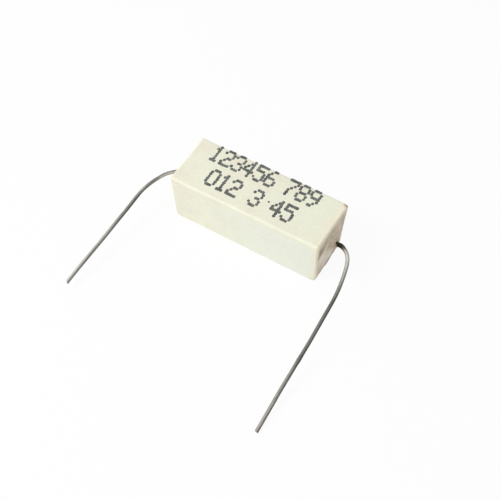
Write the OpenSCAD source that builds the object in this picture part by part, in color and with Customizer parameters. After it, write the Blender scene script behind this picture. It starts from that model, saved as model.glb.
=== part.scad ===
// Wirewound resistor cemented into a square ceramic case, with two axial leads.
// X runs along the body, Y across it and Z up. The origin is the middle of the
// body's underside, where the trough-shaped case is open and filled with cement.
// The leads leave the two ends and are bent towards -Y.

/* [Case] */
// Length of the case at its closed top
case_l = 24; // [22:0.5:30]
// Width of the case at its closed top
case_w = 9.1; // [8.6:0.1:12]
// Height of the case
case_h = 9.1; // [8.6:0.1:12]
// Draft of the two long sides, in degrees
side_draft = 4.4; // [0:0.1:6]
// Draft of the two ends, in degrees
end_draft = 0.6; // [0:0.1:2]
// Thickness of the long walls
wall_t = 1.1; // [0.8:0.1:1.3]
// Thickness of the closed top
top_t = 1.3; // [0.8:0.1:1.5]
// Thickness of the end walls
end_t = 1.4; // [0.8:0.1:2]
// Radius of the case's outer edges
edge_r = 0.4; // [0.1:0.05:0.6]
// Radius of the corners inside the trough
inner_r = 0.5; // [0.2:0.05:0.8]
// Width of the slot that a lead leaves by
slot_w = 2.4; // [1.6:0.1:3.2]

/* [Cement] */
// Depth of the cement's surface below the rim of the case
fill_recess = 0; // [0:0.05:0.6]
// How far the cement in a slot bulges out of the end
plug_bulge = 0.15; // [0:0.05:0.4]
// Radius of the bulge, seen from below
plug_r = 2.6; // [1.8:0.1:6]
// Largest radius of the collar that the cement forms round a lead
collar_r = 0.95; // [0.7:0.05:1.2]
// Longest that a collar may be
collar_l = 0.85; // [0.2:0.05:1.1]
// Thickness of the collar at its thin end
collar_t = 0.1; // [0.05:0.01:0.2]
// Straight wire left bare between a collar and its lead's bend
collar_gap = 0.05; // [0:0.05:0.15]

/* [Element] */
// Diameter of the ceramic core
core_d = 3.4; // [2.8:0.1:3.8]
// Length of the ceramic core
core_l = 14; // [11:0.5:16]
// Chamfer on the core's ends
core_chamfer = 0.2; // [0.05:0.05:0.4]
// Diameter of the resistance wire
wire_d = 0.2; // [0.12:0.01:0.3]
// Distance between neighbouring turns
wire_pitch = 0.55; // [0.4:0.05:1]
// Bare length of core beyond the last turn
bare_end = 1.2; // [0.6:0.1:1.8]
// Sheet thickness of the end caps
cap_t = 0.25; // [0.15:0.05:0.4]
// Depth of an end cap inside
cap_depth = 2.6; // [2:0.1:3.5]
// Cement between the caps and the top of the trough
cover_t = 0.3; // [0.1:0.05:0.6]
// Gap between pieces that are pressed or bonded together
seat_gap = 0.03; // [0.03:0.01:0.08]

/* [Leads] */
// Diameter of the lead wire
lead_d = 0.55; // [0.5:0.05:0.8]
// Radius of the weld fillet where a lead meets its cap
weld_r = 0.6; // [0.5:0.05:1.2]
// Length of the weld fillet
weld_l = 0.35; // [0.1:0.05:0.8]
// Gap between the longer lead's tip and the surface below
tip_gap = 0.05; // [0.02:0.01:1]
// Right lead: straight length outside the case
right_out = 1.3; // [1.2:0.1:4]
// Right lead: radius of the tight bend
right_bend_r = 2.35; // [1.5:0.05:5]
// Right lead: angle of the tight bend
right_bend_a = 74.4; // [40:0.1:80]
// Right lead: radius of the wide bend that follows
right_sweep_r = 28; // [8:0.5:40]
// Right lead: angle of the wide bend
right_sweep_a = 15.7; // [4:0.1:20]
// Right lead: straight leg
right_leg = 19.2; // [12:0.1:30]
// Right lead: slant of the cut tip, in degrees
right_cut_a = 10; // [0:1:40]
// Left lead: straight length outside the case
left_out = 0.35; // [0.2:0.05:4]
// Left lead: radius of the tight bend
left_bend_r = 2.8; // [1.5:0.1:5]
// Left lead: angle of the tight bend
left_bend_a = 47.9; // [30:0.1:60]
// Left lead: radius of the wide bend that follows
left_sweep_r = 8.8; // [6:0.1:40]
// Left lead: angle of the wide bend
left_sweep_a = 38.6; // [4:0.1:40]
// Left lead: straight leg
left_leg = 17; // [12:0.1:30]
// Left lead: slant of the cut tip, in degrees
left_cut_a = 35; // [0:1:40]

/* [Hidden] */

// Facets of a round solid, and of the small edge spheres
round_fn = 64;
edge_fn = 32;
// Steps round one turn of the winding, and sides of its wire
turn_steps = 20;
wire_sides = 6;
// Overshoot of a cut past the faces it opens
cut = 1;
// Steps along each bend of a lead, and sides of the bent wire
bend_steps = 8;
bend_sides = 24;
// How far the bent wire lies inside its straights' round, and how far it runs into them
bend_inset = 0.005;
bend_lap = 0.02;
// Length of the bend's hidden roots in those straights
root_l = 0.15;
// Length of a collar's straight root, hidden in its plug
collar_root = 0.4;

core_r = core_d / 2;
wind_r = core_r + seat_gap + wire_d / 2;
// Clears the winding by the same gap all round
cap_bore_r = core_r + wire_d + 2 * seat_gap;
cap_r = cap_bore_r + cap_t;
cap_l = cap_depth + cap_t;
element_half = core_l / 2 + cap_t;
// The element lies high in the case, close under its closed top
lead_z = case_h - top_t - cover_t - cap_r;
lead_r = lead_d / 2;
root_r = lead_r / 2;
wound_l = core_l - 2 * bare_end;
turns = wound_l / wire_pitch;

// How far a lead reaches sideways, from its axis in the case to its tip
function reach(bend_r, bend_a, sweep_r, sweep_a, leg) =
    bend_r * (1 - cos(bend_a))
    + sweep_r * (cos(bend_a) - cos(bend_a + sweep_a))
    + leg * sin(bend_a + sweep_a);

// The leads droop until the longer one nearly touches the surface below
long_reach = max(reach(right_bend_r, right_bend_a, right_sweep_r, right_sweep_a, right_leg),
                 reach(left_bend_r, left_bend_a, left_sweep_r, left_sweep_a, left_leg));
droop = asin((lead_z - lead_r - tip_gap) / long_reach);

// One section of the trough's hollow: full_w wide at its top, narrower below,
// with both top corners rounded
module hollow_section(full_w, draft) {
    deep = case_h - top_t + cut;
    offset(r = inner_r, $fn = edge_fn)
        offset(delta = -inner_r)
            translate([0, case_h - top_t])
                polygon([[-full_w / 2, 0], [full_w / 2, 0],
                         [full_w / 2 - deep * tan(draft), -deep], [-full_w / 2 + deep * tan(draft), -deep]]);
}

// The case's outer form: balls at the top corners and sharp-rimmed posts below
module case_body() {
    side_in = case_h * tan(side_draft);
    end_in = case_h * tan(end_draft);
    hull()
        for (sx = [-1, 1], sy = [-1, 1]) {
            translate([sx * (case_l / 2 - edge_r), sy * (case_w / 2 - edge_r), case_h - edge_r])
                sphere(r = edge_r, $fn = edge_fn);
            translate([sx * (case_l / 2 - end_in - edge_r), sy * (case_w / 2 - side_in - edge_r), 0])
                cylinder(r = edge_r, h = edge_r, $fn = edge_fn);
        }
}

// The trough's hollow, running out below the underside
module hollow() {
    intersection() {
        rotate([90, 0, 90])
            linear_extrude(case_l, center = true)
                hollow_section(case_w - 2 * wall_t - 2 * top_t * tan(side_draft), side_draft);
        rotate([90, 0, 0])
            linear_extrude(case_w, center = true)
                hollow_section(case_l - 2 * end_t - 2 * top_t * tan(end_draft), end_draft);
    }
}

// Round-topped slot round the lead's axis, open to the underside
module slot(x0, x1, z0) {
    translate([x0, 0, lead_z])
        rotate([0, 90, 0])
            cylinder(d = slot_w, h = x1 - x0, $fn = round_fn);
    translate([x0, -slot_w / 2, z0])
        cube([x1 - x0, slot_w, lead_z - z0]);
}

module ceramic_case() {
    color("ivory")
        difference() {
            case_body();
            hollow();
            slot(-case_l / 2 - cut, case_l / 2 + cut, -cut);
        }
}

// Room for the wound core, its caps and the leads, inside the cement
module element_room() {
    translate([-case_l / 2 - left_out - cut, 0, lead_z])
        rotate([0, 90, 0])
            cylinder(r = lead_r + seat_gap, h = case_l + left_out + right_out + 2 * cut, $fn = round_fn);
    translate([-element_half, 0, lead_z])
        rotate([0, 90, 0])
            cylinder(r = cap_bore_r, h = 2 * element_half, $fn = round_fn);
    for (side = [-1, 1])
        translate([side * (element_half - cap_l / 2), 0, lead_z])
            rotate([0, 90, 0])
                cylinder(r = cap_r + seat_gap, h = cap_l, center = true, $fn = round_fn);
    for (side = [0, 1])
        mirror([side, 0, 0])
            translate([element_half, 0, lead_z])
                rotate([0, 90, 0])
                    cylinder(r1 = weld_r + seat_gap, r2 = lead_r + seat_gap, h = weld_l, $fn = round_fn);
}

// Cement that fills one slot, bulging out of the end, with a collar on the lead
module slot_plug(out) {
    face = case_l / 2 + plug_bulge;
    intersection() {
        slot(case_l / 2 - end_t - cut, face, fill_recess);
        translate([face - plug_r, 0, 0])
            cylinder(r = plug_r, h = case_h, $fn = round_fn);
    }
    translate([case_l / 2 - collar_root, 0, lead_z])
        rotate([0, 90, 0])
            rotate_extrude($fn = round_fn)
                collar_profile(min(collar_l, out - collar_gap));
}

// Hollow-cheeked outline of a collar of the given length, thinnest at its far end, on its root
module collar_profile(length) {
    drop = collar_r - lead_r - collar_t;
    cheek_r = length * length / (2 * drop) + drop / 2;
    difference() {
        square([collar_r, collar_root + length]);
        translate([collar_r - drop + cheek_r, collar_root + length])
            circle(r = cheek_r, $fn = round_fn);
    }
}

module cement_fill() {
    color("gainsboro")
        difference() {
            union() {
                intersection() {
                    hollow();
                    translate([-case_l / 2, -case_w / 2, fill_recess]) cube([case_l, case_w, case_h]);
                }
                slot_plug(right_out);
                mirror([1, 0, 0]) slot_plug(left_out);
            }
            element_room();
        }
}

module core_rod() {
    color("white")
        translate([-core_l / 2, 0, lead_z])
            rotate([0, 90, 0])
                rotate_extrude($fn = round_fn)
                    polygon([[0, 0], [core_r - core_chamfer, 0], [core_r, core_chamfer],
                             [core_r, core_l - core_chamfer], [core_r - core_chamfer, core_l], [0, core_l]]);
}

// One ring of the wire's outline, at step i along the helix
function wire_ring(i) =
    let (turn = 360 * i / turn_steps, x = -wound_l / 2 + wire_pitch * i / turn_steps)
    [for (k = [0:wire_sides - 1])
        let (a = 360 * k / wire_sides, r = wind_r + wire_d / 2 * cos(a))
        [x + wire_d / 2 * sin(a), r * cos(turn), r * sin(turn)]];

module resistance_winding() {
    steps = floor(turns * turn_steps);
    points = [for (i = [0:steps]) each wire_ring(i)];
    sides = [for (i = [0:steps - 1], k = [0:wire_sides - 1])
        let (a = i * wire_sides + k, b = i * wire_sides + (k + 1) % wire_sides)
        [a, b, b + wire_sides, a + wire_sides]];
    start = [for (k = [wire_sides - 1:-1:0]) k];
    end = [for (k = [0:wire_sides - 1]) steps * wire_sides + k];
    color("dimgray")
        translate([0, 0, lead_z])
            polyhedron(points, concat(sides, [start, end]), convexity = 10);
}

// A drawn cup that is pressed over the wound end of the core
module end_cap() {
    corner_r = cap_t * 1.5;
    color("silver")
        translate([element_half - cap_l, 0, lead_z])
            rotate([0, 90, 0])
                rotate_extrude($fn = round_fn)
                    difference() {
                        union() {
                            square([cap_r - corner_r, cap_l]);
                            square([cap_r, cap_l - corner_r]);
                            translate([cap_r - corner_r, cap_l - corner_r])
                                intersection() {
                                    circle(r = corner_r, $fn = round_fn);
                                    square(corner_r);
                                }
                        }
                        translate([-cut, -cut]) square([cap_bore_r + cut, cap_depth + cut]);
                    }
}

module end_cap_right() {
    end_cap();
}

module end_cap_left() {
    mirror([1, 0, 0]) end_cap();
}

// Straight wire along +X
module rod(length) {
    rotate([0, 90, 0]) cylinder(d = lead_d, h = length, $fn = round_fn);
}

// One ring of the bent wire: centre and heading from a stop on its path
function bend_ring(stop, r) =
    [for (k = [0:bend_sides - 1])
        let (a = 360 * k / bend_sides)
        [stop.x - r * cos(a) * sin(stop.z), stop.y + r * cos(a) * cos(stop.z), r * sin(a)]];

// Stops [x, y, heading] along one arc that starts at the given stop
function arc_stops(from, r, angle) =
    [for (i = [1:bend_steps])
        let (a = from.z + angle * i / bend_steps)
        [from.x + r * (sin(a) - sin(from.z)), from.y + r * (cos(from.z) - cos(a)), a]];

// The stop that lies straight ahead of another one
function ahead(stop, d) = [stop.x + d * cos(stop.z), stop.y + d * sin(stop.z), stop.z];

// All the stops of a tight bend and the wide one after it, from the origin along +X
function bend_stops(bend_r, bend_a, sweep_r, sweep_a) =
    let (tight = concat([[0, 0, 0]], arc_stops([0, 0, 0], bend_r, bend_a)))
    concat(tight, arc_stops(tight[bend_steps], sweep_r, sweep_a));

// Two bends in one wire, with a thinner root at each end that sits in the straights
module bends(stops) {
    last = len(stops) - 1;
    bent = concat([ahead(stops[0], -bend_lap)],
                  [for (i = [1:last - 1]) stops[i]],
                  [ahead(stops[last], bend_lap)]);
    rings = concat([bend_ring(ahead(stops[0], -root_l), root_r)],
                   [for (stop = bent) bend_ring(stop, lead_r - bend_inset)],
                   [bend_ring(ahead(stops[last], root_l), root_r)]);
    sides = [for (i = [0:last + 1], k = [0:bend_sides - 1])
        let (a = i * bend_sides + k, b = i * bend_sides + (k + 1) % bend_sides)
        each [[a, a + bend_sides, b + bend_sides], [a, b + bend_sides, b]]];
    start = [for (k = [0:bend_sides - 1]) k];
    end = [for (k = [bend_sides - 1:-1:0]) (last + 2) * bend_sides + k];
    polyhedron([for (ring = rings) each ring], concat(sides, [start, end]), convexity = 4);
}

// The straight leg, with its tip cut off on a slant
module cut_leg(leg, cut_a) {
    difference() {
        rod(leg + lead_d);
        translate([leg, 0, 0])
            rotate([0, 0, cut_a])
                translate([0, -2 * lead_d, -lead_d])
                    cube([4 * lead_d, 4 * lead_d, 2 * lead_d]);
    }
}

// A lead from its weld on the cap, through the cement, round two bends to its tip
module lead(out, bend_r, bend_a, sweep_r, sweep_a, leg, cut_a) {
    first = case_l / 2 - element_half + out;
    stops = bend_stops(bend_r, bend_a, sweep_r, sweep_a);
    tail = stops[2 * bend_steps];
    color("darkgray")
        translate([element_half, 0, lead_z])
            rotate([180 + droop, 0, 0]) {
                rotate([0, 90, 0])
                    cylinder(r1 = weld_r, r2 = lead_r, h = weld_l, $fn = round_fn);
                rod(first);
                translate([first, 0, 0]) {
                    bends(stops);
                    translate([tail.x, tail.y, 0]) rotate([0, 0, tail.z]) cut_leg(leg, cut_a);
                }
            }
}

module lead_right() {
    lead(right_out, right_bend_r, right_bend_a, right_sweep_r, right_sweep_a, right_leg, right_cut_a);
}

module lead_left() {
    mirror([1, 0, 0])
        lead(left_out, left_bend_r, left_bend_a, left_sweep_r, left_sweep_a, left_leg, left_cut_a);
}

ceramic_case();
cement_fill();
core_rod();
resistance_winding();
end_cap_left();
end_cap_right();
lead_left();
lead_right();
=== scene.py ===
import math

import bpy
import numpy as np
from mathutils import Matrix
from mathutils.geometry import tessellate_polygon


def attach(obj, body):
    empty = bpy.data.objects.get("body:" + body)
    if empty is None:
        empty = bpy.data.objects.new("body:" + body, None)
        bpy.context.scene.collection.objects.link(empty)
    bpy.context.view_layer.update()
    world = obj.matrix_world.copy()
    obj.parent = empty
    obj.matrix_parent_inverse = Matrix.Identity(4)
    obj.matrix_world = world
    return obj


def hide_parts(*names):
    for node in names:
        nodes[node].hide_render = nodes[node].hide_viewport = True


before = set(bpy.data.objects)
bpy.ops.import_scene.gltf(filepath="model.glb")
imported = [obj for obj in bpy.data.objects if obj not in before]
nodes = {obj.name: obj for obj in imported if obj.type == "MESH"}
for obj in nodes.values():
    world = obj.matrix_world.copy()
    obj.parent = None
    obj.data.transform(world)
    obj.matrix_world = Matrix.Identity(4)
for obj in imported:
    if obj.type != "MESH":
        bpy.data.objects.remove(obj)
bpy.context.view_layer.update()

MM = 0.001

# Sizes in millimetres, as the part's source has them
CASE_L = 24.0
CASE_W = 9.1
CASE_H = 9.1
SIDE_DRAFT = math.radians(4.4)
END_DRAFT = math.radians(0.6)
TOP_T = 1.3
END_T = 1.4
EDGE_R = 0.4
SLOT_W = 2.4
PLUG_BULGE = 0.15
LEAD_Z = 5.29
LEAD_D = 0.55
DROOP = math.radians(10.0339)
RIGHT_COLLAR_L = 0.85
LEFT_COLLAR_L = 0.3

# What follows from them
HALF_L = CASE_L / 2
HALF_W = CASE_W / 2
LEAD_R = LEAD_D / 2
SLOT_HALF = SLOT_W / 2
SLOT_TOP = LEAD_Z + SLOT_HALF
END_WALL = HALF_L - END_T
TROUGH_TOP = CASE_H - TOP_T

# A slot's top is rounded by this much less than half its width
SLOT_FLAT = 0.01


# Numpy helpers

# Numbers that stir a lattice point's indices and its seed together, and masks for the bits kept
STIR_X = 374761393
STIR_Y = 668265263
STIR_Z = 2147483647
STIR_SEED = 1274126177
STIR_AGAIN = 1103515245
LOW_32 = 0xFFFFFFFF
LOW_20 = 0xFFFFF


def smooth_step(t):
    """The cubic 3t^2 - 2t^3 with t held between 0 and 1."""
    t = np.clip(t, 0.0, 1.0)
    return t * t * (3.0 - 2.0 * t)


def step_up(value, start, over):
    """0 up to the start, then a smooth step to 1 over a stretch."""
    return smooth_step((value - start) / over)


def steps(start, end, count):
    """Evenly spaced numbers from start up to, not with, end."""
    return start + (end - start) * np.arange(count) / count


def lattice_value(ix, iy, iz, seed):
    """A fixed random number from 0 to 1 for each whole lattice point, by stirring its three indices."""
    h = ix * STIR_X + iy * STIR_Y + iz * STIR_Z + seed * STIR_SEED
    h = np.bitwise_and(h, LOW_32)
    h = np.bitwise_xor(h, h >> 13) * STIR_AGAIN
    h = np.bitwise_and(h, LOW_32)
    h = np.bitwise_xor(h, h >> 16)
    return np.bitwise_and(h, LOW_20) / float(LOW_20)


def lumps(points, size, seed):
    """Value noise from -1 to 1.

    Lattice values at spacing `size` are blended by the smooth step in x, y and z.
    """
    p = points / size
    base = np.floor(p).astype(np.int64)
    f = smooth_step(p - base)
    total = np.zeros(points.shape[:-1])
    for corner in range(8):
        dx = corner & 1
        dy = (corner >> 1) & 1
        dz = (corner >> 2) & 1
        value = lattice_value(base[..., 0] + dx, base[..., 1] + dy, base[..., 2] + dz, seed)
        wx = f[..., 0] if dx else 1.0 - f[..., 0]
        wy = f[..., 1] if dy else 1.0 - f[..., 1]
        wz = f[..., 2] if dz else 1.0 - f[..., 2]
        total = total + value * wx * wy * wz
    return total * 2.0 - 1.0


def rough_height(points, terms, base=0.0):
    """The base plus the sum of value noises, each given as (height, size, seed)."""
    total = base
    for height, size, seed in terms:
        total = total + height * lumps(points, size, seed)
    return total


def bite(points, place, radius):
    """1 at a place, falling to 0 at the radius by the smooth step."""
    return smooth_step(1.0 - np.linalg.norm(points - np.array(place), axis=-1) / radius)


def bells(s, terms):
    """Sum of bell curves of the length, each given as (place, size, width)."""
    place, size, width = np.array(terms).T
    return (size * np.exp(-((s[:, None] - place) / width) ** 2)).sum(axis=1)


def grid_faces(rows, cols, wrap_cols=False):
    """Index quads of a rows by cols grid: (i, j), (i, j+1), (i+1, j+1), (i+1, j)."""
    i = np.arange(rows - 1)
    j = np.arange(cols if wrap_cols else cols - 1)
    ii, jj = np.meshgrid(i, j, indexing="ij")
    j1 = (jj + 1) % cols
    quads = np.stack([
        ii * cols + jj, ii * cols + j1, (ii + 1) * cols + j1, (ii + 1) * cols + jj], axis=-1)
    return quads.reshape(-1, 4)


def join_grids(grids):
    """Points and quads of several grids in one list; each grid is (points, wraps round its rows' ends)."""
    points, quads, offset = [], [], 0
    for grid, wrap in grids:
        points.append(grid.reshape(-1, 3))
        quads.append(grid_faces(*grid.shape[:2], wrap_cols=wrap) + offset)
        offset += grid.shape[0] * grid.shape[1]
    return np.concatenate(points), np.concatenate(quads)


# Points of a piece that round to the same place on a grid of this size are joined
JOIN_SIZE = 0.0002


def make_piece(name, points, quads, uv=None, sharp=40.0):
    """A mesh of the points, which are in millimetres, smooth but for edges over `sharp` degrees.

    Points at one place are joined, quads that collapse there become triangles, and all the faces are
    turned over where the volume they enclose comes out negative, so that they face out.
    """
    flat = points.reshape(-1, 3)
    a, b, c, d = np.moveaxis(flat[quads], 1, 0)
    volume = np.sum(a * np.cross(b, c)) + np.sum(a * np.cross(c, d))
    quads = quads if volume > 0.0 else quads[:, ::-1]
    key = np.round(flat / JOIN_SIZE).astype(np.int64)
    _, first, back = np.unique(key, axis=0, return_index=True, return_inverse=True)
    joined = back.reshape(-1)[quads]
    same = joined == np.roll(joined, -1, axis=1)
    count = same.sum(axis=1)
    # A quad with one collapsed side is read on from the corner after that side, as a triangle
    turn = np.argmax(same[count == 1], axis=1)
    order = (turn[:, None] + 1 + np.arange(3)[None, :]) % 4
    triangles = np.take_along_axis(joined[count == 1], order, axis=1)
    mesh = bpy.data.meshes.new(name)
    mesh.from_pydata((flat[first] * MM).tolist(), [], joined[count == 0].tolist() + triangles.tolist())
    if uv is not None:
        layer = mesh.uv_layers.new(name="along")
        spread = uv.reshape(-1, 2)
        corner_uv = np.concatenate([
            spread[quads[count == 0]].reshape(-1, 2),
            spread[np.take_along_axis(quads[count == 1], order, axis=1)].reshape(-1, 2)])
        layer.data.foreach_set("uv", corner_uv.astype(np.float32).reshape(-1))
    mesh.polygons.foreach_set("use_smooth", np.ones(len(mesh.polygons), dtype=bool))
    mesh.set_sharp_from_angle(angle=math.radians(sharp))
    mesh.validate()
    mesh.update()
    piece = bpy.data.objects.new(name, mesh)
    bpy.context.scene.collection.objects.link(piece)
    return piece


# The ceramic case

# Steps of the case's grid: up a side, round an edge, across the top, along the body, and from an
# end's edge in to its slot
SIDE_STEPS = 54
EDGE_STEPS = 8
TOP_STEPS = 58
LENGTH_STEPS = 150
FACE_STEPS = 34

# The draft fades in from the slot's sides over one width, and from near the middle over one length
DRAFT_FADE_W = 2.4
DRAFT_FROM_X = 4.0
DRAFT_FADE_L = 6.0

# How far the fired ends stand proud of their plan, what is added or worn where they are uneven, and
# the length of body that an end carries with it
RIGHT_PROUD = 0.05
RIGHT_FOOT_WORN = 0.11
RIGHT_CORNER_PROUD = 0.08
LEFT_PROUD = 0.08
LEFT_LEAN = 0.24
PROUD_L = 2.0

# Where the lean and the corner start across an end and over what width, and the corner and the worn
# foot up it
LEAN_Y = (0.3, 4.4)
CORNER_Y = (3.0, 1.2)
CORNER_Z = (5.5, 2.5)
FOOT_H = 1.3

# How far the back stands out near the left end, where it starts towards it and across the body
BACK_SWELL = 0.07
SWELL_X = (9.5, 2.5)
SWELL_Y = (3.0, 1.5)

# Noises of the faces, as (height, size, seed), and how far in an end's face lies under its grain
TOP_WAVE = [(0.018, 3.7, 11), (0.007, 0.9, 12)]
SKIN_WEAR = [(0.014, 2.9, 31), (0.006, 0.8, 32)]
END_GRAIN = [(0.022, 1.3, 21), (0.014, 0.45, 22)]
END_INSET = 0.01

# The shallow hollow in each end: its depth, where it is, and its half-sizes
HOLLOW = 0.06
HOLLOW_Y, HOLLOW_Z = -2.6, 6.7
HOLLOW_W, HOLLOW_H = 1.8, 0.8

# Chips: how deep they bite, how far the two big ones reach, and the noises that break them up, as
# (size, seed), with the value from which an edge is chipped
EDGE_CHIP = 0.10
CORNER_CHIP, CORNER_CHIP_R = 0.24, 0.64
FOOT_CHIP, FOOT_CHIP_R = 0.13, 1.1
EDGE_CHIP_NOISE = (1.1, 33)
CORNER_CHIP_NOISE = (0.5, 34)
EDGE_CHIP_FROM = 0.3
# What the end edges have more than a plain round, half-way round them, and where it grows at the back
SQUARE = 0.07
SQUARE_Y = (0.2, 1.0)

# Half the trough's width under its top, the round of its corners, the depth at which a slot's wall
# starts behind its mouth, and the short step between a slot's ring and the trough's
TROUGH_HALF = 3.35
TROUGH_R = 0.5
MOUTH_DEPTH = 0.25
WALL_STEP = 0.02


def top_wave(x, y):
    """Height of the printed face over its plane, a few hundredths of a millimetre of value noise."""
    return rough_height(np.stack([x, y, np.zeros_like(x)], axis=-1), TOP_WAVE)


def outer_section(count_side, count_round, count_top):
    """Half-section path from the front rim over the top to the back rim, for a straight-walled box.

    Each row is a point of the path's core, set in by the edge radius, and the unit normal there.
    """
    half = HALF_W - EDGE_R
    high = CASE_H - EDGE_R
    side = steps(0.0, high, count_side)
    turn = steps(0.0, math.pi / 2, count_round)
    across = steps(-half, half, count_top)
    core_y = np.concatenate([
        np.full(count_side, -half), np.full(count_round, -half), across,
        np.full(count_round, half), np.full(count_side + 1, half)])
    core_z = np.concatenate([
        side, np.full(count_round, high), np.full(count_top, high),
        np.full(count_round, high), high - np.append(side, high)])
    n_y = np.concatenate([
        -np.ones(count_side), -np.cos(turn), np.zeros(count_top), np.sin(turn), np.ones(count_side + 1)])
    n_z = np.concatenate([
        np.zeros(count_side), np.sin(turn), np.ones(count_top), np.cos(turn), np.zeros(count_side + 1)])
    return core_y, core_z, n_y, n_z


def inner_section(length, half, top, rounding):
    """A round-cornered arch of the given half-width and height, walked evenly by `length` points."""
    t = np.linspace(0.0, 1.0, length)
    side = top - rounding
    arc = rounding * math.pi / 2
    flat = 2.0 * (half - rounding)
    total = 2 * side + 2 * arc + flat
    s = t * total
    a = np.clip((s - side) / rounding, 0.0, math.pi / 2)
    b = np.clip((s - side - arc - flat) / rounding, 0.0, math.pi / 2)
    up = np.clip(s, 0.0, side)
    run = np.clip(s - side - arc, 0.0, flat)
    down = np.clip(s - side - 2 * arc - flat, 0.0, side)
    y = -half + rounding * (1 - np.cos(a)) + run + rounding * np.sin(b)
    z = up + rounding * np.sin(a) - rounding * (1 - np.cos(b)) - down
    return y, z


def draft(points):
    """Narrows the box towards the underside by the depth times the tangent of each draft.

    Each draft counts least near the middle, and in full towards the sides and the ends.
    """
    depth = CASE_H - points[..., 2]
    out = points.copy()
    share_y = step_up(np.abs(points[..., 1]), SLOT_HALF, DRAFT_FADE_W)
    share_x = step_up(np.abs(points[..., 0]), DRAFT_FROM_X, DRAFT_FADE_L)
    out[..., 0] -= np.sign(points[..., 0]) * depth * math.tan(END_DRAFT) * share_x
    out[..., 1] -= np.sign(points[..., 1]) * depth * math.tan(SIDE_DRAFT) * share_y
    return out


def stand_out(y, z, sign):
    """How far a fired end stands past its plan, by smooth steps across and up it.

    The left end leans out to the back. The right one is worn in at its foot and proud at its top
    back corner.
    """
    if sign < 0:
        return LEFT_PROUD + LEFT_LEAN * step_up(y, *LEAN_Y)
    foot = RIGHT_FOOT_WORN * smooth_step(1.0 - z / FOOT_H)
    corner = RIGHT_CORNER_PROUD * step_up(y, *CORNER_Y) * step_up(z, *CORNER_Z)
    return RIGHT_PROUD - foot + corner


def proud(points):
    """The points' x, with each end moved out by its stand_out, by a smooth step over the last PROUD_L."""
    x, y, z = np.moveaxis(points, -1, 0)
    right = stand_out(y, z, 1) * smooth_step((x - HALF_L + PROUD_L) / PROUD_L)
    left = stand_out(y, z, -1) * smooth_step((-x - HALF_L + PROUD_L) / PROUD_L)
    return x + right - left


def end_plane(y, z, sign):
    """Distance of the end face from the middle of the body, at y and height z."""
    return HALF_L + stand_out(y, z, sign) - (CASE_H - z) * math.tan(END_DRAFT)


def end_relief(y, z, sign):
    """How far the end face stands in from its plane: a bell-shaped hollow under the top edge, and grain."""
    # Each end reads its noise well away from the other's
    p = np.stack([np.full_like(y, 31.0 * sign), y, z], axis=-1)
    hollow = HOLLOW * np.exp(-((y - HOLLOW_Y) / HOLLOW_W) ** 2 - ((z - HOLLOW_Z) / HOLLOW_H) ** 2)
    return rough_height(p, END_GRAIN, hollow) + END_INSET


def case_skin():
    """The outer skin: i runs over the section's arch, j along the body with each end's edge.

    A point is the core plus the edge radius times the unit normal, moved along that normal by the
    wear, the squarer end edges and the chips, then drafted, stood proud at the ends and swelled at
    the back, and held above the underside.
    """
    core_y, core_z, n_y, n_z = outer_section(SIDE_STEPS, EDGE_STEPS, TOP_STEPS)
    rows = len(core_y)
    half_l = HALF_L - EDGE_R
    turn = steps(0.0, math.pi / 2, EDGE_STEPS)
    x_core = np.concatenate([
        np.full(EDGE_STEPS, -half_l), steps(-half_l, half_l, LENGTH_STEPS),
        np.full(EDGE_STEPS + 1, half_l)])
    n_x = np.concatenate([
        -np.cos(turn), np.zeros(LENGTH_STEPS), np.sin(np.append(turn, math.pi / 2))])
    squeeze = np.sqrt(1.0 - n_x ** 2)
    skin = np.stack([
        np.broadcast_to((x_core + EDGE_R * n_x)[None, :], (rows, len(x_core))),
        core_y[:, None] + EDGE_R * n_y[:, None] * squeeze[None, :],
        core_z[:, None] + EDGE_R * n_z[:, None] * squeeze[None, :]], axis=-1)
    normal = np.stack([
        np.broadcast_to(n_x[None, :], skin.shape[:2]),
        n_y[:, None] * squeeze[None, :],
        n_z[:, None] * squeeze[None, :]], axis=-1)

    # The top has its own wave, which gives way to the other faces' wear round its edges
    on_top = smooth_step((normal[..., 2] - 0.9) * 10.0)
    wear = rough_height(skin, SKIN_WEAR) * (1.0 - on_top) + top_wave(skin[..., 0], skin[..., 1]) * on_top

    edge = 1.0 - np.max(np.abs(normal), axis=-1)
    broken = np.clip(lumps(skin, *EDGE_CHIP_NOISE) - EDGE_CHIP_FROM, 0.0, 1.0)
    chips = broken * smooth_step(edge * 5.0) * EDGE_CHIP
    corner = bite(skin, (HALF_L, HALF_W, CASE_H), CORNER_CHIP_R)
    chips = chips + CORNER_CHIP * corner * (1.0 + 0.5 * lumps(skin, *CORNER_CHIP_NOISE))
    chips = chips + FOOT_CHIP * bite(skin, (HALF_L, -HALF_W, 0.0), FOOT_CHIP_R)

    # Most is added where the normal is half-way round, and twice as much on the right top edge's back
    square = SQUARE * (2.0 * np.abs(n_x) * squeeze)[None, :] ** 2
    right_top = (n_x > 0.0) * (normal[..., 2] > 0.0)
    square = square * (1.0 + step_up(skin[..., 1], *SQUARE_Y) * right_top)

    skin = draft(skin + normal * (wear + square - chips)[..., None])
    skin[..., 0] = proud(skin)
    skin[..., 1] += BACK_SWELL * step_up(-skin[..., 0], *SWELL_X) * step_up(skin[..., 1], *SWELL_Y)
    skin[..., 2] = np.maximum(skin[..., 2], 0.0)
    return skin


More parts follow.
